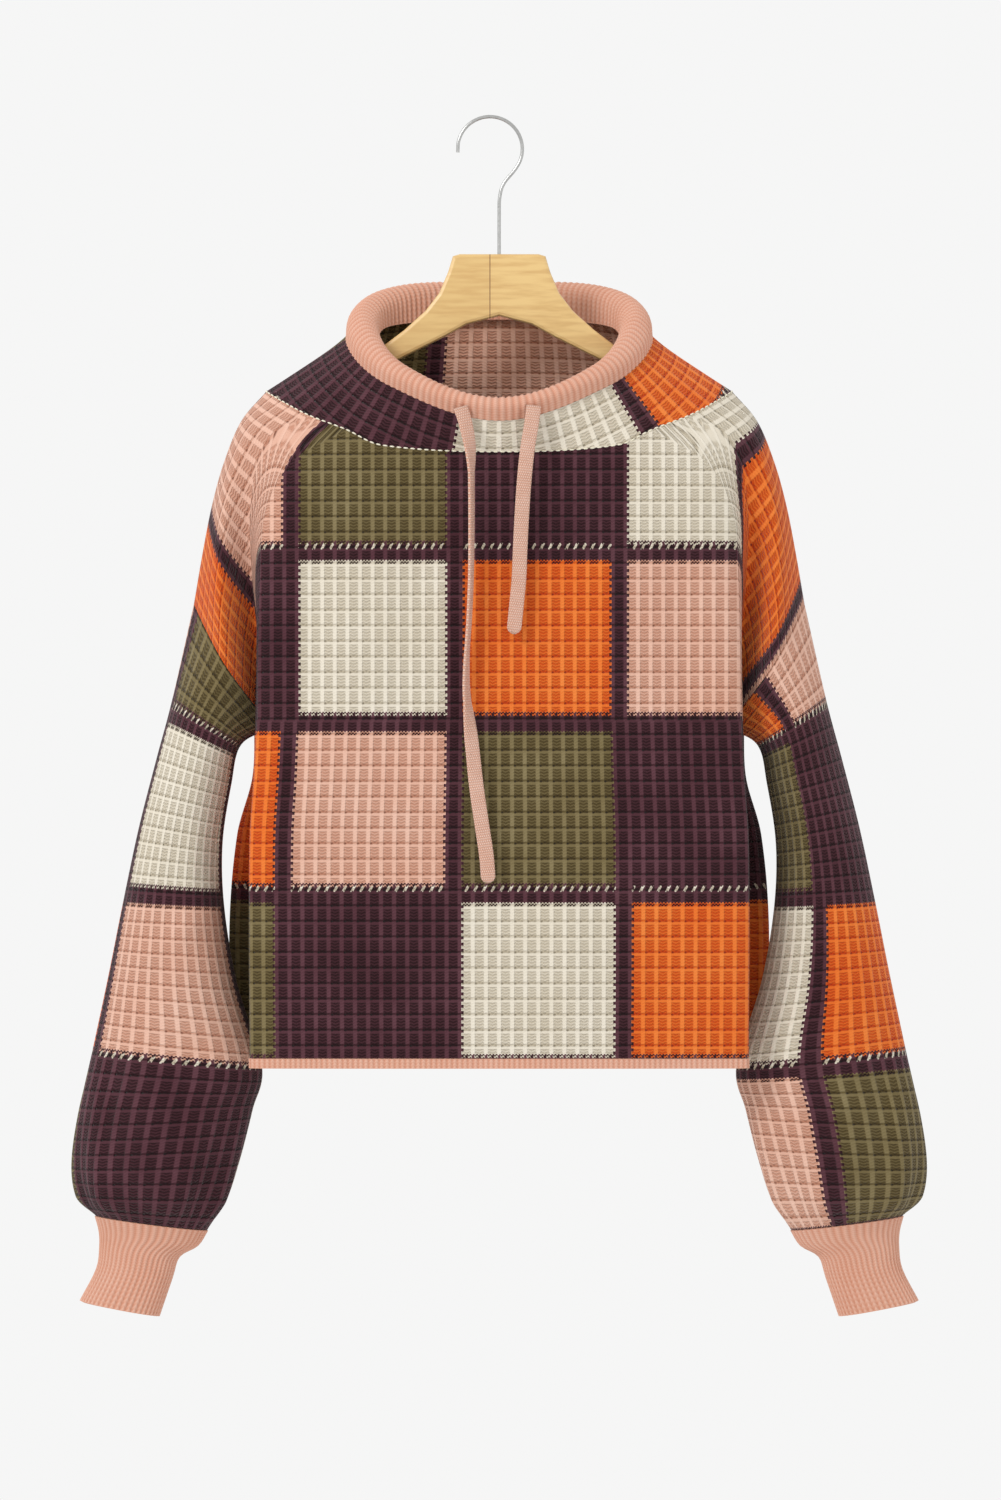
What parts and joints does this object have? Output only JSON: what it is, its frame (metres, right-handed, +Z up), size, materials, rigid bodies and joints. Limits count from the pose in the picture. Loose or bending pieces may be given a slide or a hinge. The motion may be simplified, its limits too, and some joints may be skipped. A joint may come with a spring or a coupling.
{
  "type": "mock neck sweater on a hanger",
  "caption": "Waffle-knit sweater with a folded drawstring mock neck and ribbed cuffs, hanging open and empty on a wooden hanger with a wire hook.",
  "frame": {"origin": "underside of the hook's arch, where a rail carries the hanger", "axes": "+Z up along the hook's stem, -Y towards the front of the sweater, +X to the right as the front is seen"},
  "size_m": [0.6496, 0.1453, 0.9132],
  "materials": {
    "waffle_knit": "matte",
    "rib_knit": "matte",
    "knit_tape": "matte",
    "wood": "satin",
    "steel": "satin"
  },
  "bodies": {
    "root": {"front_panel": "waffle_knit", "back_panel": "waffle_knit", "funnel_neck": "waffle_knit", "sleeve_left": "waffle_knit", "sleeve_right": "waffle_knit", "collar_rib": "rib_knit", "cuff_left": "rib_knit", "cuff_right": "rib_knit", "hem_rib": "rib_knit", "drawstring_left": "knit_tape", "drawstring_right": "knit_tape", "hanger_arms": "wood", "hook": "steel"}
  },
  "joints": []
}
